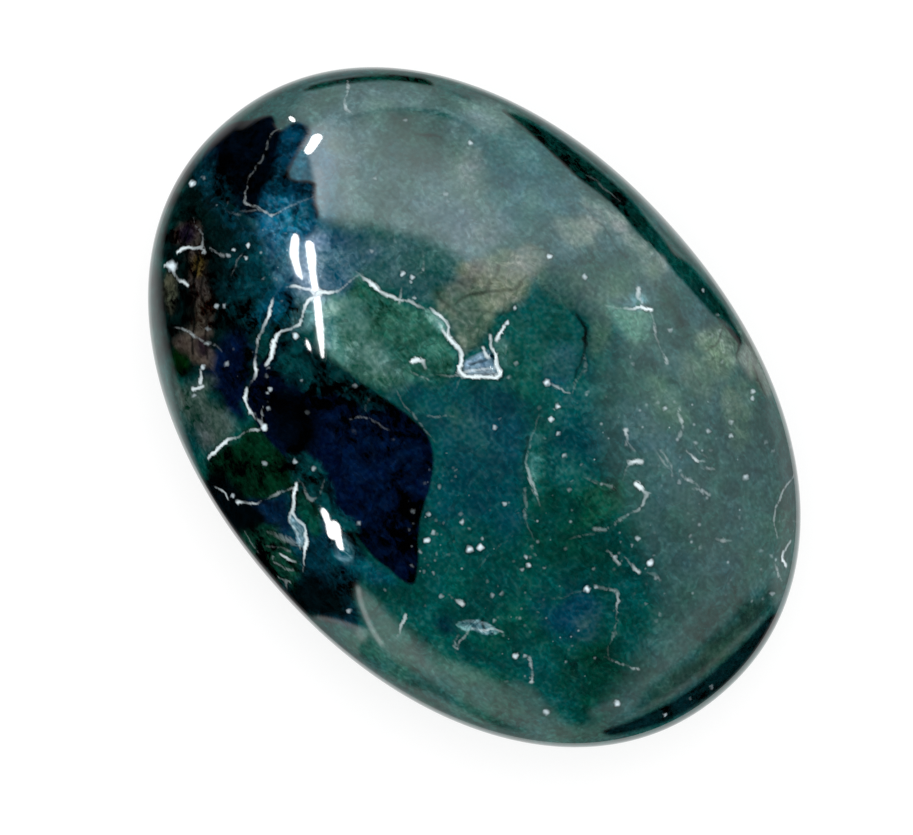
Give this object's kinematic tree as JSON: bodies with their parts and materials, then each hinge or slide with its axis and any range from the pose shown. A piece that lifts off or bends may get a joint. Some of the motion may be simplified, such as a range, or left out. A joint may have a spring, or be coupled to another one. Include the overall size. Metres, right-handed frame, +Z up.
{
  "type": "moss agate palm stone",
  "caption": "Oval pillow-shaped stone of polished moss agate, domed above and below, that rests on a small flat ground into its underside.",
  "frame": {"origin": "under the middle of the oval outline, on the surface that the stone rests on", "axes": "+X along the long axis, +Y along the short axis of the outline, +Z up through the stone's thickness"},
  "size_m": [0.06, 0.0424, 0.0198],
  "materials": {
    "polished_agate": "polished"
  },
  "bodies": {
    "root": {"moss_agate": "polished_agate"}
  },
  "joints": []
}
